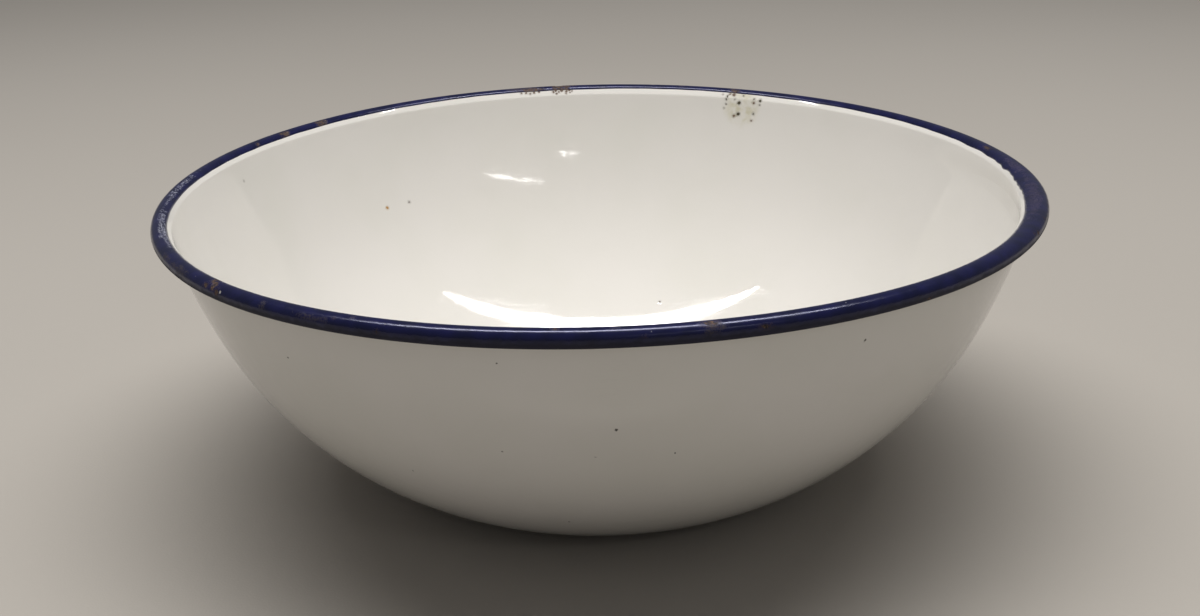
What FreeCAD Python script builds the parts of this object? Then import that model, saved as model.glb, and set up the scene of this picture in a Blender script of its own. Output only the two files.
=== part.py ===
"""A round bowl of pressed steel, enamelled white inside and out, with a blue rolled rim.

Everything is a solid of revolution about Z, with the foot standing on Z = 0. One sheet path is
drawn in the R-Z plane, from the axis out along the base, up the wall and round the curl. Each
sub-part is the band between two depths of that path, so neighbouring layers share their faces.
Depth 0 is the outside of the finished bowl. Depth grows towards the hollow of the bowl. In the
curl, which turns the other way, it grows away from the curl's own centre.
"""

import FreeCAD, Part
import math
import os

# Driving dimensions, in millimetres and degrees
RIM_DIAMETER = 400.0        # over the rolled rim, enamel included
HEIGHT = 137.65             # foot to the highest point of the rolled rim
ROLL_DIAMETER = 7.7         # the rolled rim's own thickness, enamel included
FOOT_DIAMETER = 150.0       # outer edge of the flat ring that the bowl stands on
PANEL_DIAMETER = 112.0      # flat centre of the base, pushed up clear of the table
PANEL_RAISE = 1.0
PANEL_STEP_TURN = 20.0      # slope of the step between the panel and the ring
KNUCKLE_RADIUS = 59.0       # where the base turns into the wall
KNUCKLE_TURN = 28.2
BELLY_TURN = 37.1           # the wall's main curve
FLANK_LEAN = 15.0           # how far the wall leans out from upright at its steepest
FLARE_RADIUS = 12.0         # the wall's outward bend just below the curl
FLARE_TURN = 13.0
NECK_LENGTH = 3.6           # straight wall between the flare and the curl

# Thickness of each layer
STEEL = 0.8
GROUND = 0.2                # dark first coat, on both faces of the steel
WHITE = 0.3                 # white cover coat, on both faces
BLUE = 0.3                  # blue coat brushed over the roll

SEAM_GAP = 0.35             # between the curl's cut edge and the wall
SEAM_FILL_TURN = 14.3       # how far the ground coat runs up inside the seam
BLUE_INNER_EDGE = 145.8     # where the blue starts and ends, seen from the roll's centre,
BLUE_UNDER_EDGE = 230.0     # counted from straight out and up over the top

# Depths of the faces between layers, counted from the outside of the wall
WHITE_OUTSIDE = 0.0
GROUND_OUTSIDE = WHITE_OUTSIDE + WHITE
STEEL_OUTSIDE = GROUND_OUTSIDE + GROUND
STEEL_INSIDE = STEEL_OUTSIDE + STEEL
GROUND_INSIDE = STEEL_INSIDE + GROUND
WHITE_INSIDE = GROUND_INSIDE + WHITE
BLUE_TOP = WHITE_INSIDE + BLUE

# The curl's centre, and the direction from it to where the wall joins it
ROLL_RADIUS = ROLL_DIAMETER / 2
ROLL_R = RIM_DIAMETER / 2 - ROLL_RADIUS
ROLL_Z = HEIGHT - ROLL_RADIUS
FLANK_SLOPE = 90.0 - FLANK_LEAN
NECK_SLOPE = FLANK_SLOPE - FLARE_TURN
JOIN_ANGLE = 90.0 + NECK_SLOPE


def point(r, z):
    return FreeCAD.Vector(r, 0, z)


def about_roll(radius, degrees):
    """A point at that radius and angle from the curl's centre."""
    angle = math.radians(degrees)
    return point(ROLL_R + radius * math.cos(angle), ROLL_Z + radius * math.sin(angle))


def curl_radius(depth):
    """Radius of the curled sheet's face at that depth."""
    return ROLL_RADIUS - (BLUE_TOP - depth)


def line(start, end):
    return Part.makeLine(start, end)


def roll_arcs(radius, start, end):
    """Arcs about the curl's centre from one angle to another, none over a third of a turn."""
    count = math.ceil(abs(end - start) / 120)
    half = (end - start) / count / 2
    points = [about_roll(radius, start + half * i) for i in range(2 * count + 1)]
    return [Part.Arc(*points[2 * i:2 * i + 3]).toShape() for i in range(count)]


def run(radius, start, end):
    """How far an arc reaches outward and up as its slope goes from start to end."""
    start, end = math.radians(start), math.radians(end)
    return radius * (math.sin(end) - math.sin(start)), radius * (math.cos(start) - math.cos(end))


def wall_radii():
    """Radii of the belly and the flank that bring the wall exactly to the curl."""
    belly_end = KNUCKLE_TURN + BELLY_TURN
    neck = math.radians(NECK_SLOPE)
    top = about_roll(curl_radius(WHITE_OUTSIDE), JOIN_ANGLE)
    knuckle = run(KNUCKLE_RADIUS, 0, KNUCKLE_TURN)
    flare = run(-FLARE_RADIUS, FLANK_SLOPE, NECK_SLOPE)
    reach = top.x - FOOT_DIAMETER / 2 - knuckle[0] - flare[0] - NECK_LENGTH * math.cos(neck)
    rise = top.z - knuckle[1] - flare[1] - NECK_LENGTH * math.sin(neck)
    belly_r, belly_z = run(1.0, KNUCKLE_TURN, belly_end)
    flank_r, flank_z = run(1.0, belly_end, FLANK_SLOPE)
    size = belly_r * flank_z - flank_r * belly_z
    return (reach * flank_z - flank_r * rise) / size, (belly_r * rise - belly_z * reach) / size


def sheet_path():
    """The sheet's path up to the neck, as (radius, turn): turn 0 is a straight run of that length."""
    belly, flank = wall_radii()
    step = PANEL_RAISE / (2 * run(1.0, 0, PANEL_STEP_TURN)[1])
    panel = PANEL_DIAMETER / 2
    ring = FOOT_DIAMETER / 2 - panel - 2 * run(step, 0, PANEL_STEP_TURN)[0]
    return [
        (panel, 0),
        (step, -PANEL_STEP_TURN),
        (step, PANEL_STEP_TURN),
        (ring, 0),
        (KNUCKLE_RADIUS, KNUCKLE_TURN),
        (belly, BELLY_TURN),
        (flank, FLANK_SLOPE - KNUCKLE_TURN - BELLY_TURN),
        (FLARE_RADIUS, -FLARE_TURN),
    ]


def sheet_edges(depth, neck):
    """Edges of the sheet's face at that depth, from the axis to `neck` millimetres up the neck."""
    heading = 0.0
    here = point(0, PANEL_RAISE + depth)
    edges = []
    for radius, turn in sheet_path() + [(neck, 0)]:
        side = math.copysign(1, turn)
        bend = radius - side * depth
        ahead = []
        for part in ((0.5, 1.0) if turn else (1.0,)):
            after = heading + math.radians(turn * part)
            if turn:
                dr = side * bend * (math.sin(after) - math.sin(heading))
                dz = side * bend * (math.cos(heading) - math.cos(after))
            else:
                dr, dz = radius * math.cos(heading), radius * math.sin(heading)
            ahead.append(here + point(dr, dz))
        edges.append(Part.Arc(here, *ahead).toShape() if turn else line(here, ahead[0]))
        here = ahead[-1]
        heading += math.radians(turn)
    return edges


def end_of(edges):
    return edges[-1].Vertexes[-1].Point


def revolve(edges):
    """The solid inside what a chain of edges sweeps about Z, with each face split in quarter turns."""
    origin, up = FreeCAD.Vector(0, 0, 0), FreeCAD.Vector(0, 0, 1)
    faces = []
    for start in (0, 90, 180, 270):
        for edge in edges:
            turned = edge.copy()
            turned.rotate(origin, up, start)
            faces += turned.revolve(origin, up, 90).Faces
    shell = Part.Shell(faces)
    shell.sewShape()
    solid = Part.Solid(shell)
    if solid.Volume < 0:
        solid.reverse()
    return solid


def below_join(depth, radius):
    """How far below the join the wall's face at that depth crosses a circle about the curl's centre."""
    return math.sqrt(radius**2 - curl_radius(depth) ** 2)


def wall_crossing(depth, radius):
    """The angle of that crossing, seen from the curl's centre."""
    return JOIN_ANGLE + math.degrees(math.acos(curl_radius(depth) / radius))


def curl_end():
    """The angle of the curl's cut edge, which stops short of the wall by the seam's gap."""
    reach = (curl_radius(STEEL_OUTSIDE) - SEAM_GAP) / curl_radius(STEEL_INSIDE)
    return JOIN_ANGLE + math.degrees(math.acos(reach))


def curled_layer(outside, inside, outside_end, inside_end):
    """A layer of the sheet that runs over the whole curl, out to an end angle on each of its faces."""
    low, high = sheet_edges(outside, NECK_LENGTH), sheet_edges(inside, NECK_LENGTH)
    low += roll_arcs(curl_radius(outside), JOIN_ANGLE, outside_end - 360)
    high += roll_arcs(curl_radius(inside), JOIN_ANGLE, inside_end - 360)
    return revolve([*low, line(end_of(low), end_of(high)), *high])


def steel_bowl():
    """The pressed sheet: base, wall and hollow curl."""
    return curled_layer(STEEL_OUTSIDE, STEEL_INSIDE, curl_end(), curl_end())


def inner_ground_coat():
    return curled_layer(STEEL_INSIDE, GROUND_INSIDE, curl_end(), curl_end())


def inner_white_enamel():
    """White over the inside and round the roll, down to the seam with the outer coats."""
    under = wall_crossing(GROUND_OUTSIDE, curl_radius(GROUND_INSIDE))
    over = wall_crossing(GROUND_OUTSIDE, curl_radius(WHITE_INSIDE))
    return curled_layer(GROUND_INSIDE, WHITE_INSIDE, under, over)


def outer_ground_coat():
    """Ground coat on the outside, drawn up into the seam behind the curl's cut edge."""
    coat_radius, steel_radius = curl_radius(GROUND_INSIDE), curl_radius(STEEL_OUTSIDE)
    low = sheet_edges(GROUND_OUTSIDE, NECK_LENGTH - below_join(GROUND_OUTSIDE, coat_radius))
    crossing = wall_crossing(GROUND_OUTSIDE, coat_radius)
    fill_end = curl_end() - SEAM_FILL_TURN
    fill_drop = steel_radius * math.tan(math.radians(fill_end - JOIN_ANGLE))
    high = sheet_edges(STEEL_OUTSIDE, NECK_LENGTH - fill_drop)
    seam = [
        *roll_arcs(coat_radius, crossing, curl_end()),
        line(about_roll(coat_radius, curl_end()), about_roll(steel_radius, curl_end())),
        *roll_arcs(steel_radius, curl_end(), fill_end),
        line(about_roll(steel_radius, fill_end), end_of(high)),
    ]
    return revolve([*low, *seam, *high])


def outer_white_enamel():
    """White on the outside, up to the white that comes round the roll."""
    top = curl_radius(WHITE_INSIDE)
    low = sheet_edges(WHITE_OUTSIDE, NECK_LENGTH - below_join(WHITE_OUTSIDE, top))
    high = sheet_edges(GROUND_OUTSIDE, NECK_LENGTH - below_join(GROUND_OUTSIDE, top))
    meeting = roll_arcs(top, wall_crossing(WHITE_OUTSIDE, top), wall_crossing(GROUND_OUTSIDE, top))
    return revolve([*low, *meeting, *high])


def blue_rim_enamel():
    """The blue coat on the roll, open underneath at the seam."""
    under, over = curl_radius(WHITE_INSIDE), curl_radius(BLUE_TOP)
    end = BLUE_UNDER_EDGE - 360
    return revolve([
        *roll_arcs(under, BLUE_INNER_EDGE, end),
        line(about_roll(under, end), about_roll(over, end)),
        *roll_arcs(over, end, BLUE_INNER_EDGE),
        line(about_roll(over, BLUE_INNER_EDGE), about_roll(under, BLUE_INNER_EDGE)),
    ])


def main():
    os.makedirs("parts", exist_ok=True)
    makers = (
        steel_bowl,
        inner_ground_coat,
        outer_ground_coat,
        inner_white_enamel,
        outer_white_enamel,
        blue_rim_enamel,
    )
    for maker in makers:
        solid = maker()
        solid.exportStep(f"parts/{maker.__name__}.step")
        print(maker.__name__, "valid" if solid.isValid() else "NOT VALID", round(solid.Volume, 1), "mm3")
    print("belly and flank radii", [round(radius, 2) for radius in wall_radii()])


main()
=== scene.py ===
"""An old enamelled steel bowl with a navy rolled rim, on a plain table under soft studio light.

The bowl's own shape repeats part.py's path of arcs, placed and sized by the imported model's boxes.
Lengths in the code are millimetres and become metres where meshes are made. A "bearing" is the
angle about Z from +X, and "around" is the angle about the roll's own centre, from straight out
and up over the top.
"""

import bpy
import math
import numpy as np
from mathutils import Matrix, Vector


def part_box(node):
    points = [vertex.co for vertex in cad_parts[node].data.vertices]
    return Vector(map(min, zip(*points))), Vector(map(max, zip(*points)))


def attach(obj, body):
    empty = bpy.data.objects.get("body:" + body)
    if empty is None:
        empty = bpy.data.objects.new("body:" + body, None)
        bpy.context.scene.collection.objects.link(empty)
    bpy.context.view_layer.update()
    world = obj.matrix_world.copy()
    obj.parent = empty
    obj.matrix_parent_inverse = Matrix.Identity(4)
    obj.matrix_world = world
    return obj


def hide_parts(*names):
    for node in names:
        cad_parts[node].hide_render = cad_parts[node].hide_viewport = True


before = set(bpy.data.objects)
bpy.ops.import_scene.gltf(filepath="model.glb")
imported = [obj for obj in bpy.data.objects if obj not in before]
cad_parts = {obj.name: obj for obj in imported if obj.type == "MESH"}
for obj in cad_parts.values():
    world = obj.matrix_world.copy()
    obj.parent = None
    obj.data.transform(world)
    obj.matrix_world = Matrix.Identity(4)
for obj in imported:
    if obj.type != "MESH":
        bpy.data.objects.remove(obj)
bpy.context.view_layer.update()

MM = 0.001


def box_mm(node):
    low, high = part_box(node)
    return low / MM, high / MM


blue_low, blue_high = box_mm("blue_rim_enamel")
white_high = box_mm("inner_white_enamel")[1]
ground_high = box_mm("inner_ground_coat")[1]
steel_high = box_mm("steel_bowl")[1]

# Sizes that the boxes give
RIM_R = blue_high.x
HEIGHT = blue_high.z
ROLL = (blue_high.z - blue_low.z) / 2       # the roll's radius, enamel included
ROLL_R = RIM_R - ROLL
ROLL_Z = HEIGHT - ROLL
BLUE = blue_high.z - white_high.z
WHITE = white_high.z - ground_high.z
GROUND = ground_high.z - steel_high.z

# The sheet, as in part.py
STEEL = 0.8
FOOT_R = 75.0
PANEL_R = 56.0
PANEL_RAISE = 1.0
PANEL_STEP_TURN = 20.0
KNUCKLE_RADIUS = 59.0
KNUCKLE_TURN = 28.2
BELLY_TURN = 37.1
FLANK_SLOPE = 75.0
FLARE_RADIUS = 12.0
FLARE_TURN = 13.0
NECK_LENGTH = 3.6
NECK_SLOPE = FLANK_SLOPE - FLARE_TURN
JOIN_ANGLE = 90.0 + NECK_SLOPE
BLUE_INNER_EDGE = 145.8
BLUE_UNDER_EDGE = -130.0
SEAM_GAP = 0.35

THICKNESS = STEEL + 2 * (GROUND + WHITE)
WHITE_INSIDE = THICKNESS
GROUND_INSIDE = THICKNESS - WHITE
STEEL_INSIDE = GROUND_INSIDE - GROUND
STEEL_OUTSIDE = WHITE + GROUND

# Enamel has pooled where the wall meets the roll, so the white bends there in a short steep lip
LIP_SLOPE = 52.0
LIP_BEND = 2.5
LIP_ANGLE = 90.0 + LIP_SLOPE

# How the bowl has gone out of true: its rim rises and dips twice round
SADDLE_COS = -1.3
SADDLE_SIN = -0.6
# and one knock has opened the roll wider, towards the hollow
WIDE_BY = 3.2
WIDE_AT = -11.0
WIDE_SPAN = 27.0
WIDE_DROP = 14.0            # how far down the wall it reaches
SHRINK = 0.9996             # keeps the uneven surfaces within the true size
# The sheet's faint unevenness: how much, seed, slowest and fastest wave round, ripples up, phase
UNEVENNESS = [
    (0.05, 3, 3, 9, 3.0, 0.0),
    (0.03, 4, 8, 18, 5.0, 1.0),
]

AROUND = 704                # points round the widest rings
FEWEST_AROUND = 12          # and round the narrowest, near the axis
THIN_OUT_BELOW = 0.55       # a ring halves its points below this share of the radius they suit
SPACING = 3.2               # between the rings of a visible wall
HIDDEN_SPACING = 4.5        # of a wall that another layer covers
BACK_SPACING = 12.0         # and of the back of an outermost coat
ROLL_STEPS = 30             # steps round the roll where it shows
ROLL_BACK_STEPS = 12        # behind the coat that shows
HIDDEN_ROLL_STEPS = 14      # and in a layer that is covered
SHARP_ANGLE = 50            # edges that turn more than this many degrees are shaded sharp


# ---- shape ---------------------------------------------------------------------------------

def curl_radius(depth):
    """Radius of the curled sheet's face at that depth from the outside of the wall."""
    return ROLL - BLUE - WHITE_INSIDE + depth


def about_roll(radius, degrees):
    angle = np.radians(degrees)
    return ROLL_R + radius * np.cos(angle), ROLL_Z + radius * np.sin(angle)


def run(radius, start, end):
    """How far an arc reaches outward and up as its slope goes from start to end."""
    start, end = math.radians(start), math.radians(end)
    return radius * (math.sin(end) - math.sin(start)), radius * (math.cos(start) - math.cos(end))


def sheet_path():
    """The wall's path as (radius, turn) pieces, where turn 0 is a straight run."""
    belly_end = KNUCKLE_TURN + BELLY_TURN
    neck = math.radians(NECK_SLOPE)
    top_r, top_z = about_roll(curl_radius(0), JOIN_ANGLE)
    knuckle = run(KNUCKLE_RADIUS, 0, KNUCKLE_TURN)
    flare = run(-FLARE_RADIUS, FLANK_SLOPE, NECK_SLOPE)
    reach = top_r - FOOT_R - knuckle[0] - flare[0] - NECK_LENGTH * math.cos(neck)
    rise = top_z - knuckle[1] - flare[1] - NECK_LENGTH * math.sin(neck)
    belly = run(1.0, KNUCKLE_TURN, belly_end)
    flank = run(1.0, belly_end, FLANK_SLOPE)
    belly_radius, flank_radius = np.linalg.solve(np.array([belly, flank]).T, [reach, rise])
    step = PANEL_RAISE / (2 * run(1.0, 0, PANEL_STEP_TURN)[1])
    ring = FOOT_R - PANEL_R - 2 * run(step, 0, PANEL_STEP_TURN)[0]
    return [
        (PANEL_R, 0),
        (step, -PANEL_STEP_TURN),
        (step, PANEL_STEP_TURN),
        (ring, 0),
        (KNUCKLE_RADIUS, KNUCKLE_TURN),
        (belly_radius, BELLY_TURN),
        (flank_radius, FLANK_SLOPE - belly_end),
        (FLARE_RADIUS, -FLARE_TURN),
        (NECK_LENGTH, 0),
    ]


def wall(depth, spacing, path):
    """Points (r, z) of the sheet's face at that depth along a path that starts on the axis."""
    heading, r, z = 0.0, 0.0, PANEL_RAISE + depth
    points = [(r, z)]
    for radius, turn in path:
        side = math.copysign(1, turn)
        bend = radius - side * depth
        length = bend * math.radians(abs(turn)) if turn else radius
        steps = max(4 if turn else 2, round(length / spacing))
        for i in range(1, steps + 1):
            after = heading + math.radians(turn) * i / steps
            if turn:
                dr = side * bend * (math.sin(after) - math.sin(heading))
                dz = side * bend * (math.cos(heading) - math.cos(after))
            else:
                dr, dz = (radius * i / steps * f(heading) for f in (math.cos, math.sin))
            points.append((r + dr, z + dz))
        r, z = points[-1]
        heading += math.radians(turn)
    return points


def inner_face(spacing):
    """Points of the white's inner face, from the axis over the lip to where it meets the roll."""
    flank = sheet_path()[:-2]
    start = np.array(wall(WHITE_INSIDE, spacing, flank)[-1])
    end = np.array(about_roll(curl_radius(WHITE_INSIDE), LIP_ANGLE))
    bend = np.array(run(-LIP_BEND, FLANK_SLOPE, LIP_SLOPE))
    slopes = np.radians([FLANK_SLOPE, LIP_SLOPE])
    upright, lean = np.linalg.solve([np.cos(slopes), np.sin(slopes)], end - start - bend)
    lip = [(upright, 0), (LIP_BEND - WHITE_INSIDE, LIP_SLOPE - FLANK_SLOPE), (lean, 0)]
    return wall(WHITE_INSIDE, spacing, flank + lip)


def curl(radius, start, end, steps):
    return [about_roll(radius, a) for a in np.linspace(start, end, steps + 1)]


def waves(angle, seed, slowest, fastest):
    """A smooth random wave round the bowl, made of whole turns so that it closes, mostly within 1."""
    rng = np.random.default_rng(seed)
    total = np.zeros_like(angle)
    turns = range(slowest, fastest + 1, max(1, (fastest - slowest) // 8))
    for n in turns:
        total += rng.uniform(0.5, 1.0) * np.sin(n * angle + rng.uniform(0, 2 * math.pi))
    return total / math.sqrt(len(turns))


def rise_from(edge, width):
    """0 at an edge and below, rising smoothly to 1 at width."""
    t = np.clip(edge / width, 0, 1)
    return t * t * (3 - 2 * t)


def degrees_from(bearing, centre):
    """How far bearings in radians lie from a centre in degrees, between -180 and 180 degrees."""
    return (np.degrees(bearing) - centre + 180) % 360 - 180


def hump(offset, width):
    """1 in the middle, falling smoothly to nothing a few widths away."""
    return np.exp(-((offset / width) ** 2))


def saddle(bearing):
    """How far the rim is above its true height at a bearing in radians, which is never above 0."""
    most = math.hypot(SADDLE_COS, SADDLE_SIN)
    return SADDLE_COS * np.cos(2 * bearing) + SADDLE_SIN * np.sin(2 * bearing) - most


def knock(bearing, r, z):
    """How far the knock has moved each point towards the hollow."""
    inward = WIDE_BY * hump(degrees_from(bearing, WIDE_AT), WIDE_SPAN)
    from_outside = rise_from(RIM_R - r, 2 * ROLL)
    return inward * from_outside * rise_from(z - ROLL_Z + WIDE_DROP, WIDE_DROP)


def settle(points):
    """The true shape as use left it: the rim saddled and knocked wider, the sheet faintly uneven."""
    x, y, z = points.T
    bearing = np.arctan2(y, x)
    height = z / ROLL_Z
    uneven = np.zeros_like(z)
    for size, seed, slowest, fastest, ripples, phase in UNEVENNESS:
        ripple = np.sin(ripples * height * math.pi + phase)
        uneven += size * waves(bearing, seed, slowest, fastest) * ripple
    grow = SHRINK + (uneven - knock(bearing, np.hypot(x, y), z)) / RIM_R
    return np.column_stack([x * grow, y * grow, z * SHRINK + height**2 * saddle(bearing)])


def on_wall(bearing, height):
    """The point of the inner wall at a bearing in degrees and a height, once the rim has sunk."""
    angle = math.radians(bearing)
    face = np.array([point for point in inner_face(1.0) if point[0] > FOOT_R])
    true_height = height - saddle(angle) * (height / ROLL_Z) ** 2
    r = float(np.interp(true_height, face[:, 1], face[:, 0]))
    return r * math.cos(angle), r * math.sin(angle), height


def ring(r, z, count):
    angle = np.arange(count) * 2 * math.pi / count
    return np.column_stack([r * np.cos(angle), r * np.sin(angle), np.full(count, float(z))])


def ring_count(r):
    """Points for a ring of radius r: halved each time the radius halves, and one on the axis."""
    count = AROUND
    while count > FEWEST_AROUND and r < THIN_OUT_BELOW * RIM_R * count / AROUND:
        count //= 2
    return count if r > 0 else 1


def bridge(first, n, second, m):
    """Faces between two rings of n and m points, where m is n, twice n, half n or 1."""
    if n < m:
        return [face[::-1] for face in bridge(second, m, first, n)]
    faces = []
    for i in range(n):
        here, after = first + i, first + (i + 1) % n
        if m == 1:
            faces.append((here, after, second))
        elif m == n:
            faces.append((here, after, second + (i + 1) % m, second + i))
        else:
            near = second + (i + 1) // 2 % m
            faces.append((here, after, near))
            if i % 2:
                continue
            faces.append((after, second + (i // 2 + 1) % m, near))
    return faces


def all_faces(rings, closed):
    """Faces between each ring and the next. closed also joins the last ring to the first."""
    starts = np.cumsum([0] + [len(r) for r in rings])
    pairs = list(zip(range(len(rings)), range(1, len(rings))))
    if closed:
        pairs.append((len(rings) - 1, 0))
    faces = []
    for a, b in pairs:
        faces += bridge(int(starts[a]), len(rings[a]), int(starts[b]), len(rings[b]))
    return faces


def skin(name, rings, closed=False):
    """A smooth mesh object over a list of rings of points, settled as the bowl is."""
    points = settle(np.vstack(rings)) * MM
    mesh = bpy.data.meshes.new(name)
    mesh.from_pydata(points.tolist(), [], all_faces(rings, closed))
    mesh.update()
    mesh.validate()
    if signed_volume(mesh) < 0:
        mesh.flip_normals()
    mesh.polygons.foreach_set("use_smooth", [True] * len(mesh.polygons))
    mesh.set_sharp_from_angle(angle=math.radians(SHARP_ANGLE))
    piece = bpy.data.objects.new(name, mesh)
    bpy.context.scene.collection.objects.link(piece)
    return piece


def signed_volume(mesh):
    """Six times the mesh's volume, negative where its faces point inwards."""
    mesh.calc_loop_triangles()
    co = np.zeros(len(mesh.vertices) * 3)
    mesh.vertices.foreach_get("co", co)
    corners = np.zeros(len(mesh.loop_triangles) * 3, int)
    mesh.loop_triangles.foreach_get("vertices", corners)
    a, b, c = co.reshape(-1, 3)[corners.reshape(-1, 3)].transpose(1, 0, 2)
    return float((a * np.cross(b, c)).sum())


def lathe(name, outline):
    """A closed piece turned from an outline that starts and ends on the axis."""
    return skin(name, [ring(r, z, ring_count(r)) for r, z in outline])


def white_inside():
    """White enamel from the middle of the bowl over the roll to the seam underneath."""
    seam = JOIN_ANGLE + math.degrees(math.acos(curl_radius(WHITE) / curl_radius(WHITE_INSIDE)))
    top = curl(curl_radius(WHITE_INSIDE), LIP_ANGLE, seam - 360, ROLL_STEPS)[1:]
    under = curl(curl_radius(GROUND_INSIDE), seam - 360, JOIN_ANGLE, ROLL_BACK_STEPS)[:-1]
    front = inner_face(SPACING)
    back = wall(GROUND_INSIDE, BACK_SPACING, sheet_path())[::-1]
    return lathe("white_inside", front + top + under + back)


def outside_coat(name, outer, inner, front_spacing, back_spacing):
    """A coat on the outside of the wall, between two depths, up to the seam under the roll."""
    front = wall(outer, front_spacing, sheet_path())
    back = wall(inner, back_spacing, sheet_path())[::-1]
    return lathe(name, front[:-1] + back[1:])


def white_outside():
    """White enamel under the bowl and up the outside."""
    return outside_coat("white_outside", 0.0, WHITE, SPACING, BACK_SPACING)


def hidden_curl(name, outside, inside):
    """A layer that the white covers, from the middle of the bowl round the curl to its cut edge."""
    end = math.degrees(math.acos((curl_radius(STEEL_OUTSIDE) - SEAM_GAP) / curl_radius(STEEL_INSIDE)))
    end += JOIN_ANGLE - 360
    top = curl(curl_radius(inside), JOIN_ANGLE, end, HIDDEN_ROLL_STEPS)[1:]
    under = curl(curl_radius(outside), end, JOIN_ANGLE, HIDDEN_ROLL_STEPS)[:-1]
    front = wall(inside, HIDDEN_SPACING, sheet_path())
    back = wall(outside, HIDDEN_SPACING, sheet_path())[::-1]
    return lathe(name, front + top + under + back)


def ground_outside():
    """The dark coat under the outer white."""
    return outside_coat("ground_outside", WHITE, STEEL_OUTSIDE, HIDDEN_SPACING, HIDDEN_SPACING)


# ---- the blue rim --------------------------------------------------------------------------

BACK = 90.0                 # the bearing of the far side
SIDE_REACH = 14.0           # degrees further down the lip that the blue runs away from the back
BACK_SPAN = 48.0            # how far round from there it stays short
RAGGED_AT = WIDE_AT + 12    # where the brush left a ragged edge
RAGGED_SPAN = 16.0
EDGE_TAPER = 0.7            # how far the coat takes to reach its thickness from an edge
CHIP_SLOPE = 0.5            # and a chip to reach its depth
BLUE_BITE = 0.03            # how far the coat's back goes into the white
RIM_AROUND = 2160           # points round the rim
RIM_FRONT = 38              # steps across the side that shows
RIM_BACK = 5                # and across the back
FAR = 9.0                   # a distance that no mark reaches
SMALL_CHIPS = 34

# Damage on the rim: bearing, around, half length along the rim, half width across it, kind
CHIPS = [
    (-139.0, 88, 1.3, 1.7, "rust"),
    (-138.1, 55, 1.9, 2.0, "rust"),
    (-137.2, 18, 1.5, 1.7, "rust"),
    (-147.0, 36, 7.5, 1.5, "dirt"),
    (-152.0, 42, 4.0, 1.2, "dirt"),
    (-129.0, 32, 1.7, 1.8, "dirt"),
    (-121.6, 28, 5.5, 1.1, "dirt"),
    (-142.6, 51, 0.3, 0.3, "white"),
    # The two long scuffed stretches are abrasion, and their pale specks are also painted glints of
    # reflected light
    (-163.5, 110, 30.0, 1.9, "scuffs_and_painted_glints"),
    (178.0, 106, 26.0, 1.4, "scuffs_and_painted_glints"),
    (-88.8, 78, 1.2, 0.8, "worn"),
    (-79.2, 66, 2.6, 1.1, "rust"),
    (-78.2, 40, 2.4, 1.4, "dirt"),
    (-79.3, 22, 1.6, 0.9, "dirt"),
    (-42.7, 18, 0.3, 0.3, "white"),
    (-36.5, 100, 2.6, 0.6, "worn"),
    (-40.5, 126, 2.4, 0.4, "worn"),
    (-27.0, 22, 0.9, 0.6, "rust"),
    (-13.0, 98, 32.0, 1.9, "worn"),
    (3.0, 102, 14.0, 1.7, "worn"),
    (13.2, 112, 2.0, 0.9, "rust"),
    (66.3, 124, 2.3, 2.0, "rust"),
    (96.0, 116, 5.4, 3.4, "rust"),
    (101.3, 128, 6.6, 1.6, "rust"),
    (102.5, 112, 8.0, 2.6, "dirt"),
    (139.2, 120, 3.4, 2.4, "rust"),
    (147.0, 124, 2.8, 2.2, "rust"),
    (153.5, 134, 1.0, 0.8, "rust"),
]
KINDS = ("rust", "white", "worn", "dirt", "scuffs_and_painted_glints")
CRATER = {"rust": 0.2, "white": 0.16, "worn": 0.03, "dirt": 0.0, "scuffs_and_painted_glints": 0.04}


def small_chips():
    """The scatter of small chips that any rim picks up, most of them on its outer side."""
    rng = np.random.default_rng(21)
    chips = []
    for _ in range(SMALL_CHIPS):
        size = 0.2 + 0.7 * rng.random() ** 4
        kind = "rust" if rng.random() < 0.7 else "white"
        place = rng.uniform(-180, 180), rng.normal(40, 35)
        chips.append((*place, size * rng.uniform(1.0, 1.8), size, kind))
    return chips


def chip_distances(bearing, around):
    """For each kind, how far in millimetres each point is from the nearest edge of such damage."""
    found = {kind: np.full(bearing.shape, FAR) for kind in KINDS}
    ragged = 0.25 * waves(bearing, 31, 90, 260)
    ragged += 0.2 * np.sin(np.radians(around) * 9 + 40 * bearing)
    for place, across, half_length, half_width, kind in CHIPS + small_chips():
        along = np.radians(degrees_from(bearing, place)) * RIM_R / half_length
        over = np.radians(around - across) * ROLL / half_width
        reach = np.hypot(along, over) - 1 - ragged * 0.8
        found[kind] = np.minimum(found[kind], reach * min(half_length, half_width))
    return found


def white_face(around, lift):
    """A point `lift` above the white: on the roll, or past it down the lip by the same length."""
    past = np.radians(np.maximum(around - LIP_ANGLE, 0)) * (ROLL - BLUE)
    r, z = about_roll(ROLL - BLUE + lift, np.minimum(around, LIP_ANGLE))
    slope = math.radians(LIP_SLOPE)
    return r - past * math.cos(slope), z - past * math.sin(slope)


def blue_edges(bearing):
    """Where the brushed coat ends on the lip and under the roll, as wandering angles about the roll."""
    inner = BLUE_INNER_EDGE + SIDE_REACH * (1 - hump(degrees_from(bearing, BACK), BACK_SPAN))
    inner += 2.2 * waves(bearing, 11, 2, 14) + 1.3 * waves(bearing, 12, 20, 90)
    ragged = 6.0 + 7.0 * waves(bearing, 14, 24, 60) + 4.0 * waves(bearing, 16, 80, 160)
    inner += ragged * hump(degrees_from(bearing, RAGGED_AT), RAGGED_SPAN)
    return inner, BLUE_UNDER_EDGE + 4.0 * waves(bearing, 13, 3, 60)


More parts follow.
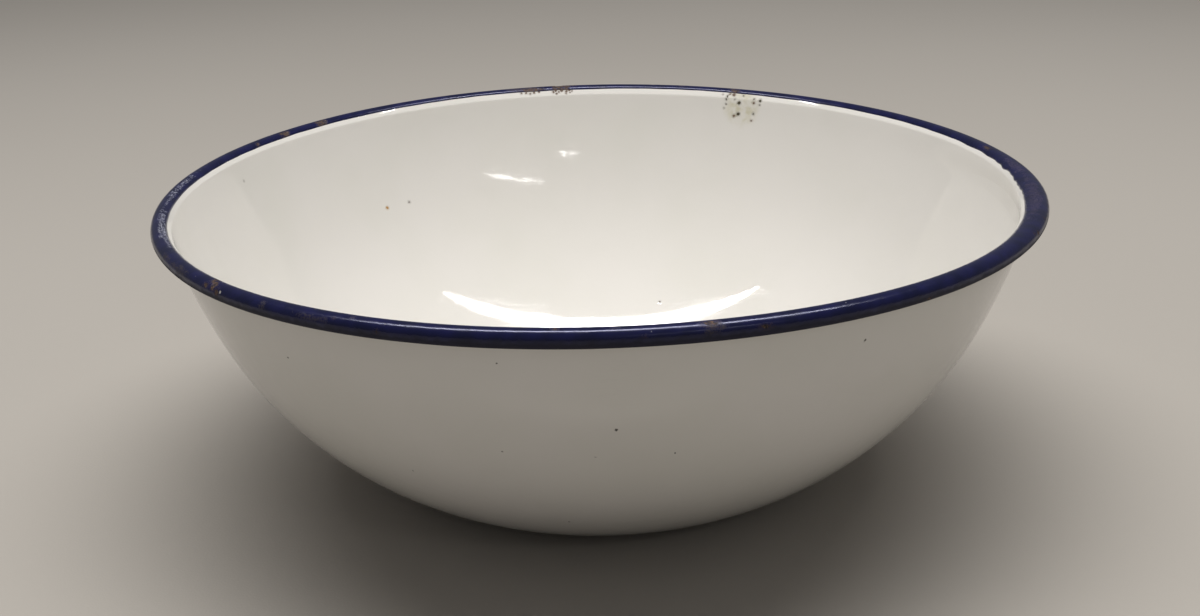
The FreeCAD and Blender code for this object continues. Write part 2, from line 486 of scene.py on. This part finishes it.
def blue_thickness(bearing, around, to_edge, found):
    """Thickness of the coat: a little uneven, tapered at its edges and hollowed by the damage."""
    coat = 0.9 + 0.05 * waves(bearing, 15, 6, 40)
    coat += 0.03 * np.sin(np.radians(around) * 3 + bearing * 5)
    thick = BLUE * (np.minimum(coat, 1.0) * rise_from(to_edge, EDGE_TAPER))
    for kind in KINDS:
        thick -= np.minimum(CRATER[kind], 0.8 * thick) * rise_from(-found[kind], CHIP_SLOPE)
    return thick


def rim_ring(bearing, around, lift):
    """A ring of points `lift` above the white."""
    r, z = white_face(around, lift)
    return np.column_stack([r * np.cos(bearing), r * np.sin(bearing), z])


def across_front():
    """Steps from 0 to 1 across the coat, closer together near its two edges."""
    even = np.linspace(0, 1, RIM_FRONT + 1)
    crowded = (1 - np.cos(np.linspace(0, math.pi, RIM_FRONT + 1))) / 2
    return 0.5 * crowded + 0.5 * even


def blue_rim():
    """The brushed-on blue coat with its damage, and for the material where each kind of damage is."""
    bearing = np.arange(RIM_AROUND) * 2 * math.pi / RIM_AROUND
    inner_edge, under_edge = blue_edges(bearing)
    rings, turned, marks = [], [], {kind: [] for kind in KINDS}
    nothing = {kind: np.full(RIM_AROUND, FAR) for kind in KINDS}
    front, back = across_front(), np.linspace(1, 0, RIM_BACK + 2)
    for i, part in enumerate([*front, *back]):
        around = inner_edge + (under_edge - inner_edge) * part
        found, lift = nothing, -BLUE_BITE
        if i < len(front):
            to_edge = np.minimum(inner_edge - around, around - under_edge) * math.radians(1) * ROLL
            found = chip_distances(bearing, around)
            lift = blue_thickness(bearing, around, to_edge, found)
        rings.append(rim_ring(bearing, around, lift))
        turned.append(around)
        for kind in KINDS:
            marks[kind].append(found[kind])
    piece = skin("blue_rim", rings, closed=True)
    for name, values in {**marks, "around": turned}.items():
        attribute = piece.data.attributes.new(name, "FLOAT", "POINT")
        attribute.data.foreach_set("value", np.concatenate(values))
    return piece


# ---- materials -----------------------------------------------------------------------------

class Shader:
    """A material's node tree, written as expressions."""

    def __init__(self, name):
        self.material = bpy.data.materials.new(name)
        self.material.use_nodes = True
        self.tree = self.material.node_tree
        self.tree.nodes.clear()
        place = self.add("ShaderNodeTexCoord").outputs["Object"]
        self.mm = self.vector("SCALE", place, Scale=1 / MM)

    def add(self, kind, inputs=None, **settings):
        made = self.tree.nodes.new(kind)
        for key, value in settings.items():
            setattr(made, key, value)
        for key, value in (inputs or {}).items():
            self.plug(made.inputs[key], value)
        return made

    def plug(self, socket, value):
        if isinstance(value, bpy.types.NodeSocket):
            self.tree.links.new(value, socket)
        else:
            socket.default_value = value

    def vector(self, operation, a, b=None, Scale=None):
        made = self.add("ShaderNodeVectorMath", {0: a}, operation=operation)
        if b is not None:
            self.plug(made.inputs[1], b)
        if Scale is not None:
            self.plug(made.inputs["Scale"], Scale)
        return made.outputs["Value" if operation == "DISTANCE" else "Vector"]

    def math(self, operation, a, b=0.0, clamp=False):
        made = self.add("ShaderNodeMath", {0: a, 1: b}, operation=operation, use_clamp=clamp)
        return made.outputs[0]

    def noise(self, size, detail, roughness=0.5, vector=None):
        """Noise whose features are about `size` millimetres."""
        settings = {"Scale": 1 / size, "Detail": detail, "Roughness": roughness}
        settings["Vector"] = vector or self.mm
        return self.add("ShaderNodeTexNoise", settings).outputs["Fac"]

    def ramp(self, value, low, high, start=0.0, end=1.0):
        """value from low..high to start..end, smoothly and no further."""
        settings = {"Value": value, "From Min": low, "From Max": high, "To Min": start, "To Max": end}
        made = self.add("ShaderNodeMapRange", settings, interpolation_type="SMOOTHSTEP")
        return made.outputs["Result"]

    def mix(self, share, a, b):
        made = self.add("ShaderNodeMix", data_type="RGBA")
        for key, value in ((0, share), (6, a), (7, b)):
            self.plug(made.inputs[key], value)
        return made.outputs[2]

    def spots(self, size, seed, radius, share):
        """0..1 masks of round spots, one in each cell of about `size`, kept in `share` of the cells."""
        place = self.vector("ADD", self.mm, (seed * 17.3, seed * 5.1, seed * 9.7))
        cells = self.add("ShaderNodeTexVoronoi", {"Vector": place, "Scale": 1 / size})
        away = self.math("MULTIPLY", cells.outputs["Distance"], size)
        pick = self.add("ShaderNodeSeparateColor", {"Color": cells.outputs["Color"]})
        kept = self.math("LESS_THAN", pick.outputs[0], share)
        reach = self.ramp(pick.outputs[1], 0.0, 1.0, radius * 0.4, radius)
        inside = self.math("SUBTRACT", reach, away)
        return self.math("MULTIPLY", self.ramp(inside, -0.05, 0.08), kept)

    def scratches(self, seed, turn, mask_size):
        """Hair-thin streaks across the surface in one direction."""
        settings = {"Vector": self.mm, "Rotation": (0.3 * seed, 0.4, turn), "Scale": (0.03, 1.6, 1.6)}
        turned = self.add("ShaderNodeMapping", settings)
        streak = self.noise(1.0, 3.0, 0.6, turned.outputs[0])
        line = self.ramp(self.math("ABSOLUTE", self.math("SUBTRACT", streak, 0.5)), 0.0, 0.008, 1.0, 0.0)
        where = self.ramp(self.noise(mask_size, 1.0), 0.55, 0.68)
        return self.math("MULTIPLY", line, where)

    def attribute(self, name):
        return self.add("ShaderNodeAttribute", attribute_name=name).outputs["Fac"]

    def bump(self, height, distance, normal=None):
        """Shades the surface as if a height of 1 stood `distance` millimetres above it."""
        inputs = {"Height": height, "Distance": distance * MM, "Strength": 1.0}
        if normal is not None:
            inputs["Normal"] = normal
        return self.add("ShaderNodeBump", inputs).outputs["Normal"]

    def surface(self, **inputs):
        names = {key.replace("_", " "): value for key, value in inputs.items()}
        made = self.add("ShaderNodeBsdfPrincipled", names)
        out = self.add("ShaderNodeOutputMaterial")
        self.tree.links.new(made.outputs[0], out.inputs["Surface"])
        return self.material


RUST_DARK = (0.014, 0.009, 0.006, 1)
RUST_LIGHT = (0.18, 0.105, 0.055, 1)
BARE_GROUND = (0.018, 0.016, 0.017, 1)
WHITE_COLOUR = (0.80, 0.775, 0.735, 1)
CLOUDED_WHITE = (0.775, 0.755, 0.705, 1)
YELLOWED_WHITE = (0.58, 0.54, 0.36, 1)
DARK_PIT = (0.25, 0.22, 0.18, 1)
DARK_SPECK = (0.12, 0.10, 0.09, 1)
OUTSIDE_MARK = (0.06, 0.05, 0.045, 1)
CHIPPED_WHITE = (0.50, 0.48, 0.44, 1)
BLUE_DARK = (0.0065, 0.0080, 0.036, 1)
BLUE_LIGHT = (0.010, 0.011, 0.060, 1)
# painted shade: a dark grey laid over the underside of the blue roll
BLUE_UNDER_SHADE = (0.0075, 0.0065, 0.0085, 1)
BLUE_SHEEN = (0.72, 0.74, 1.0, 1)
RUST_HALO = (0.055, 0.030, 0.020, 1)
ENAMEL_IOR = 1.52

# How wear, and the painted glints on the scuffs, show on the blue: kind, how frayed, its edge, its grain,
# how strong, colour
BLUE_WEAR = [
    ("worn", 2.0, (-0.8, 0.6), (0.42, 0.60), 0.7, (0.060, 0.047, 0.072, 1)),
    ("dirt", 1.5, (-0.6, 0.9), (0.40, 0.62), 0.8, (0.055, 0.043, 0.034, 1)),
    # scuffs: partly abrasion, partly painted highlight, as pale lilac specks that stand in for broken
    # reflections
    ("scuffs_and_painted_glints", 1.0, (-0.8, 0.4), (0.53, 0.58), 0.95, (0.56, 0.57, 0.66, 1)),
]

# Marks on the white inside, each kind with its colour and spots as (bearing, height, radius)
INSIDE_MARKS = {
    "tan fleck": ((0.45, 0.25, 0.07, 1), [(131.5, 86.2, 0.8)]),
    "dark flecks": ((0.10, 0.07, 0.05, 1), [(126.8, 86.6, 0.5), (75.8, 28.8, 0.6), (160.1, 121.7, 0.3)]),
    "olive rust": ((0.055, 0.045, 0.022, 1), [
        (67.4, 133.2, 0.5), (67.4, 132.5, 0.55), (67.5, 131.8, 0.5), (67.5, 131.1, 0.35),
        (67.5, 128.8, 0.35), (67.8, 126.6, 0.3), (65.2, 129.8, 1.0), (66.0, 131.6, 0.25),
        (65.2, 123.9, 1.0), (62.6, 132.5, 0.5), (61.5, 132.0, 0.9), (61.5, 129.7, 0.35),
        (62.5, 124.6, 0.6), (64.6, 133.6, 0.4),
    ]),
    "brown rust": ((0.15, 0.095, 0.060, 1), [
        (65.9, 122.7, 0.8), (62.6, 130.5, 0.7), (62.7, 121.0, 0.5), (68.2, 133.8, 0.4),
        (66.3, 133.8, 1.0), (67.0, 134.2, 0.8), (12.6, 132.0, 0.7),
    ]),
    "rust teeth": ((0.12, 0.070, 0.040, 1), [
        (94.6, 135.6, 0.9), (95.1, 135.0, 0.8), (95.9, 135.5, 1.0), (96.4, 134.8, 0.6),
        (96.9, 135.5, 0.9), (97.3, 134.9, 0.7), (94.2, 135.0, 0.4), (95.2, 134.0, 0.6),
        (96.8, 134.1, 0.6), (94.5, 134.3, 0.45), (99.8, 135.3, 0.6), (100.6, 135.2, 0.7),
        (101.3, 134.8, 0.7), (102.0, 135.2, 0.7), (102.8, 135.2, 0.5), (138.6, 135.3, 0.9),
        (139.6, 135.1, 0.8), (146.6, 135.0, 0.9), (147.4, 134.8, 0.6), (153.5, 134.7, 0.5),
    ]),
}
STAINED = (64.6, 127.5)     # where the white below the rust has yellowed, as bearing and height

# Marks on the white outside, as ((bearing, height, radius), size)
OUTSIDE_MARKS = [
    ((-88.7, 90.6, 178.9), 0.9),
    ((-59.2, 116.5, 188.6), 0.8),
    ((-91.3, 76.8, 172.4), 0.6),
    ((-96.4, 32.1, 138.0), 0.6),
    ((-117.9, 59.2, 161.6), 0.5),
    ((-130.4, 107.5, 185.6), 0.5),
    ((-101.4, 121.0, 190.0), 0.4),
    ((-102.8, 78.7, 173.3), 0.5),
    ((-81.4, 76.7, 172.3), 0.5),
]


def place(bearing, height, radius):
    """The point at a bearing in degrees, a height and a distance from the axis."""
    angle = math.radians(bearing)
    return radius * math.cos(angle), radius * math.sin(angle), height


def rust_colour(shader, size):
    grain = shader.noise(size, 5.0, 0.75)
    return shader.mix(shader.ramp(grain, 0.42, 0.66), RUST_DARK, RUST_LIGHT)


def nearest(shader, spots):
    """How far each point is outside the nearest of a list of round spots, in millimetres."""
    found = FAR
    for centre, radius in spots:
        away = shader.math("SUBTRACT", shader.vector("DISTANCE", shader.mm, centre), radius)
        found = shader.math("MINIMUM", found, away)
    return found


def fraying(shader, strength):
    """A little noise to add to a distance, so that the edge of a mark is not a clean curve."""
    return shader.math("MULTIPLY", shader.math("SUBTRACT", shader.noise(1.1, 3.0), 0.5), strength)


def white_base(shader, scratches, scratch_share, scratch_colour, scratch_rough):
    """The scratched white that both sides share, as its colour, its roughness and where it is scratched."""
    cloud = shader.ramp(shader.noise(70.0, 3.0), 0.35, 0.7)
    colour = shader.mix(cloud, WHITE_COLOUR, CLOUDED_WHITE)
    rough = shader.ramp(shader.noise(22.0, 4.0, 0.6), 0.3, 0.75, 0.035, 0.065)
    first, second = (shader.scratches(*one) for one in scratches)
    worn = shader.math("ADD", first, second, clamp=True)
    rough = shader.math("ADD", rough, shader.math("MULTIPLY", worn, scratch_rough))
    colour = shader.mix(shader.math("MULTIPLY", worn, scratch_share), colour, scratch_colour)
    return colour, rough, worn


def stained(shader, colour):
    """The colour with a yellow stain below the rust."""
    away = shader.vector("DISTANCE", shader.mm, on_wall(*STAINED))
    patchy = shader.ramp(shader.noise(4.0, 3.0), 0.35, 0.65, 0.15, 0.7)
    stain = shader.math("MULTIPLY", shader.ramp(away, 4.0, 13.0, 1.0, 0.0), patchy)
    return shader.mix(stain, colour, YELLOWED_WHITE)


def inside_marks(shader, colour, dents):
    """The colour and the dents with the marks of INSIDE_MARKS, each with a faint halo."""
    fray = fraying(shader, 1.3)
    for tint, spots in INSIDE_MARKS.values():
        placed = [(on_wall(bearing, height), radius) for bearing, height, radius in spots]
        away = shader.math("ADD", nearest(shader, placed), fray)
        halo = shader.math("MULTIPLY", shader.ramp(away, 0.0, 1.0, 1.0, 0.0), 0.3)
        mark = shader.math("MAXIMUM", shader.ramp(away, -0.25, 0.15, 1.0, 0.0), halo)
        colour = shader.mix(mark, colour, tint)
        dents = shader.math("MAXIMUM", dents, mark)
    return colour, dents


def inside_material():
    shader = Shader("white_enamel_inside")
    scratches = ((1, 0.4, 40.0), (2, 1.9, 50.0))
    colour, rough, worn = white_base(shader, scratches, 0.06, (0.55, 0.53, 0.50, 1), 0.12)
    pits = shader.spots(19.0, 1, 0.28, 0.35)
    colour = shader.mix(shader.math("MULTIPLY", pits, 0.6), colour, DARK_PIT)
    colour, dents = inside_marks(shader, stained(shader, colour), pits)
    rough = shader.math("ADD", rough, shader.math("MULTIPLY", dents, 0.5))
    peel = shader.bump(shader.noise(5.0, 2.0), 0.035)
    normal = shader.bump(dents, -0.12, normal=peel)
    normal = shader.bump(worn, -0.003, normal=normal)
    return shader.surface(Base_Color=colour, Roughness=rough, Normal=normal, IOR=ENAMEL_IOR)


def outside_marks(shader, colour, dents):
    """The colour and the dents with the marks of OUTSIDE_MARKS."""
    fray = fraying(shader, 1.6)
    for where, size in OUTSIDE_MARKS:
        away = shader.math("ADD", shader.vector("DISTANCE", shader.mm, place(*where)), fray)
        mark = shader.ramp(away, size * 0.5, size * 1.1, 1.0, 0.0)
        colour = shader.mix(mark, colour, OUTSIDE_MARK)
        dents = shader.math("MAXIMUM", dents, mark)
    return colour, dents


def rubbed_ring(shader, colour, dents):
    """The same where the standing ring is rubbed through to the dark coat and a little rust."""
    height = shader.add("ShaderNodeSeparateXYZ", {"Vector": shader.mm}).outputs["Z"]
    patches = shader.math("MULTIPLY", shader.noise(13.0, 6.0, 0.7), 1.45)
    bare = shader.ramp(shader.math("ADD", height, patches), 0.62, 0.72, 1.0, 0.0)
    rusted = shader.ramp(shader.noise(6.0, 3.0), 0.45, 0.6)
    under = shader.mix(rusted, BARE_GROUND, rust_colour(shader, 1.5))
    return shader.mix(bare, colour, under), shader.math("MAXIMUM", dents, bare)


def outside_material():
    shader = Shader("white_enamel_outside")
    scratches = ((3, 1.2, 45.0), (4, 2.6, 35.0))
    colour, rough, _ = white_base(shader, scratches, 0.12, (0.35, 0.33, 0.31, 1), 0.15)
    specks = shader.spots(24.0, 5, 0.35, 0.4)
    colour = shader.mix(shader.math("MULTIPLY", specks, 0.7), colour, DARK_SPECK)
    colour, dents = outside_marks(shader, colour, specks)
    colour, dents = rubbed_ring(shader, colour, dents)
    rough = shader.math("ADD", rough, shader.math("MULTIPLY", dents, 0.5))
    peel = shader.bump(shader.noise(5.5, 2.0), 0.045)
    normal = shader.bump(dents, -0.1, normal=peel)
    return shader.surface(Base_Color=colour, Roughness=rough, Normal=normal, IOR=ENAMEL_IOR)


def blue_under_shade(shader, colour, coarse):
    """The colour with painted shade darkening the underside of the roll, and how strong that shade is,
    which also dulls it.
    """
    around = shader.math("ADD", shader.attribute("around"), shader.math("MULTIPLY", coarse, 40.0))
    # painted shade, full on the underside of the roll and gone towards its top
    under_shade = shader.ramp(around, -25.0, 20.0, 1.0, 0.0)
    return shader.mix(shader.math("MULTIPLY", under_shade, 0.8), colour, BLUE_UNDER_SHADE), under_shade


def blue_wear(shader, colour, dull, fray, speckle):
    """The colour and the dullness with the wear of BLUE_WEAR, including the painted glints on the scuffs.
    """
    for kind, spread, edge, grain, strength, tint in BLUE_WEAR:
        away = shader.math("ADD", shader.attribute(kind), shader.math("MULTIPLY", fray, spread))
        grainy = shader.ramp(speckle, *grain)
        share = shader.math("MULTIPLY", shader.ramp(away, *edge, 1.0, 0.0), grainy)
        colour = shader.mix(shader.math("MULTIPLY", share, strength), colour, tint)
        dull = shader.math("MAXIMUM", dull, share)
    return colour, dull


def blue_chips(shader, colour, dull, fray, speckle):
    """The colour and the dullness with the chips, where it is broken and where it has rusted."""
    pale = shader.ramp(shader.math("ADD", shader.attribute("white"), fray), -0.15, 0.1, 1.0, 0.0)
    colour = shader.mix(pale, colour, CHIPPED_WHITE)
    edge = shader.math("ADD", shader.attribute("rust"), fray)
    grainy = shader.ramp(speckle, 0.42, 0.62)
    halo = shader.math("MULTIPLY", shader.ramp(edge, 0.0, 1.4, 1.0, 0.0), grainy)
    colour = shader.mix(shader.math("MULTIPLY", halo, 0.7), colour, RUST_HALO)
    left = shader.ramp(shader.noise(1.1, 4.0, 0.7), 0.36, 0.50)
    bare = shader.math("MULTIPLY", shader.ramp(edge, -0.2, 0.08, 1.0, 0.0), left)
    colour = shader.mix(bare, colour, rust_colour(shader, 0.9))
    broken = shader.math("MAXIMUM", bare, pale)
    dull = shader.math("MAXIMUM", dull, shader.math("MAXIMUM", broken, halo))
    return colour, dull, broken, bare


def blue_material():
    shader = Shader("blue_enamel_rim")
    brushed = shader.ramp(shader.noise(9.0, 3.0), 0.3, 0.7)
    colour = shader.mix(brushed, BLUE_DARK, BLUE_LIGHT)
    rough = shader.ramp(shader.noise(6.0, 4.0, 0.6), 0.3, 0.7, 0.17, 0.25)
    fine = shader.math("SUBTRACT", shader.noise(0.9, 4.0, 0.65), 0.5)
    coarse = shader.math("SUBTRACT", shader.noise(3.0, 3.0), 0.5)
    fray = shader.math("ADD", shader.math("MULTIPLY", fine, 0.9), shader.math("MULTIPLY", coarse, 1.2))
    speckle = shader.noise(0.8, 5.0, 0.8)
    # painted shade under the roll, which also raises the roughness there
    colour, dull = blue_under_shade(shader, colour, coarse)
    colour, dull = blue_wear(shader, colour, dull, fray, speckle)
    colour, dull, broken, bare = blue_chips(shader, colour, dull, fray, speckle)
    rough = shader.math("ADD", rough, shader.math("MULTIPLY", dull, 0.55))
    crust = shader.math("MULTIPLY", bare, shader.noise(0.5, 4.0, 0.7))
    normal = shader.bump(shader.noise(3.0, 2.0), 0.06)
    normal = shader.bump(crust, 0.18, normal=normal)
    normal = shader.bump(broken, -0.1, normal=normal)
    looks = {"Base_Color": colour, "Roughness": rough, "Normal": normal}
    return shader.surface(**looks, IOR=ENAMEL_IOR, Specular_Tint=BLUE_SHEEN)


def steel_material():
    shader = Shader("pressed_steel_sheet")
    grain = shader.noise(0.8, 4.0, 0.7)
    colour = shader.mix(grain, (0.20, 0.19, 0.18, 1), (0.42, 0.41, 0.40, 1))
    rough = shader.ramp(shader.noise(4.0, 3.0), 0.3, 0.7, 0.35, 0.6)
    normal = shader.bump(grain, 0.02)
    return shader.surface(Base_Color=colour, Roughness=rough, Metallic=1.0, Normal=normal)


def ground_material():
    shader = Shader("ground_coat")
    grain = shader.noise(1.2, 3.0)
    colour = shader.mix(shader.noise(12.0, 2.0), (0.014, 0.014, 0.022, 1), (0.035, 0.034, 0.045, 1))
    rough = shader.ramp(grain, 0.3, 0.7, 0.2, 0.35)
    normal = shader.bump(grain, 0.02)
    return shader.surface(Base_Color=colour, Roughness=rough, Normal=normal, IOR=ENAMEL_IOR)


# ---- the table, the lights and the camera --------------------------------------------------

# Sizes and places here are in metres
FLOOR_HALF = 8.0
FLOOR_SQUARES = 8           # along each side
LAMP_HEIGHT = 2.0
LAMP_COLOUR = (1.0, 0.985, 0.965)
WORLD_COLOUR = (0.96, 0.97, 1.0, 1)
WORLD_LIGHT = 0.14          # how much the surroundings light the bowl
WORLD_SEEN = 0.55           # and how bright they look behind it

# The lights: name, middle as (x, y), length and width, turn about Z in degrees, radiance
LAMPS = [
    ("overhead", (0.0, 0.075), (2.85, 0.18), -1.1, 37),
    ("left_of_camera", (1.6, -2.62), (1.3, 0.032), 6, 38),
    ("behind_camera", (0.65, -3.45), (0.5, 0.034), 0, 34),
]

LENS = 48                   # the camera's focal length and sensor width, in its own millimetres
SENSOR = 36
YAW, PITCH, TILT = -0.0013, 0.3507, -0.0261     # in radians: to the side, down, and over
EYE_BACK = 3.548            # how far the camera stands in front of the axis, in rim radii
EYE_OVER_RIM = 1.0          # and above the roll's centre, in rim radii
RIM_SAG = 1.43              # less how far the saddled rim has sunk on average, in millimetres


def table():
    mesh = bpy.data.meshes.new("table")
    side = FLOOR_SQUARES + 1
    steps = np.linspace(-FLOOR_HALF, FLOOR_HALF, side)
    corners = [side * j + i for j in range(FLOOR_SQUARES) for i in range(FLOOR_SQUARES)]
    faces = [(c, c + 1, c + side + 1, c + side) for c in corners]
    mesh.from_pydata([(x, y, 0.0) for y in steps for x in steps], [], faces)
    floor = bpy.data.objects.new("table", mesh)
    bpy.context.scene.collection.objects.link(floor)
    shader = Shader("pale_table")
    colour = shader.mix(shader.noise(900.0, 2.0), (0.425, 0.395, 0.355, 1), (0.47, 0.44, 0.40, 1))
    normal = shader.bump(shader.noise(1.2, 3.0), 0.08)
    mesh.materials.append(shader.surface(Base_Color=colour, Roughness=0.85, Normal=normal))


def lamp(name, middle, size, turn, radiance):
    """A long soft light lying flat with tapered ends, facing down."""
    data = bpy.data.lights.new(name, "AREA")
    data.shape = "ELLIPSE"
    data.size, data.size_y = size
    data.energy = radiance * size[0] * size[1] * math.pi**2 / 4
    data.color = LAMP_COLOUR
    strip = bpy.data.objects.new(name, data)
    strip.location = (*middle, LAMP_HEIGHT)
    strip.rotation_euler = (0, 0, math.radians(turn))
    strip.visible_camera = False
    bpy.context.scene.collection.objects.link(strip)


def surroundings():
    """An even pale world that looks brighter to the camera than it lights the bowl."""
    world = bpy.data.worlds.new("studio")
    world.use_nodes = True
    nodes, links = world.node_tree.nodes, world.node_tree.links
    background = nodes["Background"]
    background.inputs["Color"].default_value = WORLD_COLOUR
    seen = nodes.new("ShaderNodeLightPath")
    strength = nodes.new("ShaderNodeMapRange")
    strength.inputs["To Min"].default_value = WORLD_LIGHT
    strength.inputs["To Max"].default_value = WORLD_SEEN
    links.new(seen.outputs["Is Camera Ray"], strength.inputs["Value"])
    links.new(strength.outputs["Result"], background.inputs["Strength"])
    bpy.context.scene.world = world


def camera():
    """In front of the bowl and above it, looking down, with a slight roll."""
    data = bpy.data.cameras.new("camera")
    data.lens = LENS
    data.sensor_width = SENSOR
    across, along = math.sin(YAW) * math.cos(PITCH), math.cos(YAW) * math.cos(PITCH)
    ahead = Vector((across, along, -math.sin(PITCH)))
    level = ahead.cross(Vector((0, 0, 1))).normalized()
    upright = level.cross(ahead)
    right = level * math.cos(TILT) + upright * math.sin(TILT)
    up = upright * math.cos(TILT) - level * math.sin(TILT)
    rotation = Matrix((right, up, -ahead)).transposed().to_4x4()
    height = ROLL_Z - RIM_SAG + EYE_OVER_RIM * RIM_R
    eye = bpy.data.objects.new("camera", data)
    eye.matrix_world = Matrix.Translation((0, -EYE_BACK * RIM_R * MM, height * MM)) @ rotation
    bpy.context.scene.collection.objects.link(eye)
    bpy.context.scene.camera = eye


def fit(piece, node, material):
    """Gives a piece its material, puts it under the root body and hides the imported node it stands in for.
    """
    piece.data.materials.clear()
    piece.data.materials.append(material)
    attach(piece, "root")
    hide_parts(node)


camera()
table()
for one in LAMPS:
    lamp(*one)
surroundings()
bpy.context.scene.view_settings.view_transform = "Standard"
ground = ground_material()
sheet = hidden_curl("pressed_steel", STEEL_OUTSIDE, STEEL_INSIDE)
first_coat = hidden_curl("ground_inside", STEEL_INSIDE, GROUND_INSIDE)
fit(sheet, "steel_bowl", steel_material())
fit(first_coat, "inner_ground_coat", ground)
fit(ground_outside(), "outer_ground_coat", ground)
fit(white_inside(), "inner_white_enamel", inside_material())
fit(white_outside(), "outer_white_enamel", outside_material())
fit(blue_rim(), "blue_rim_enamel", blue_material())
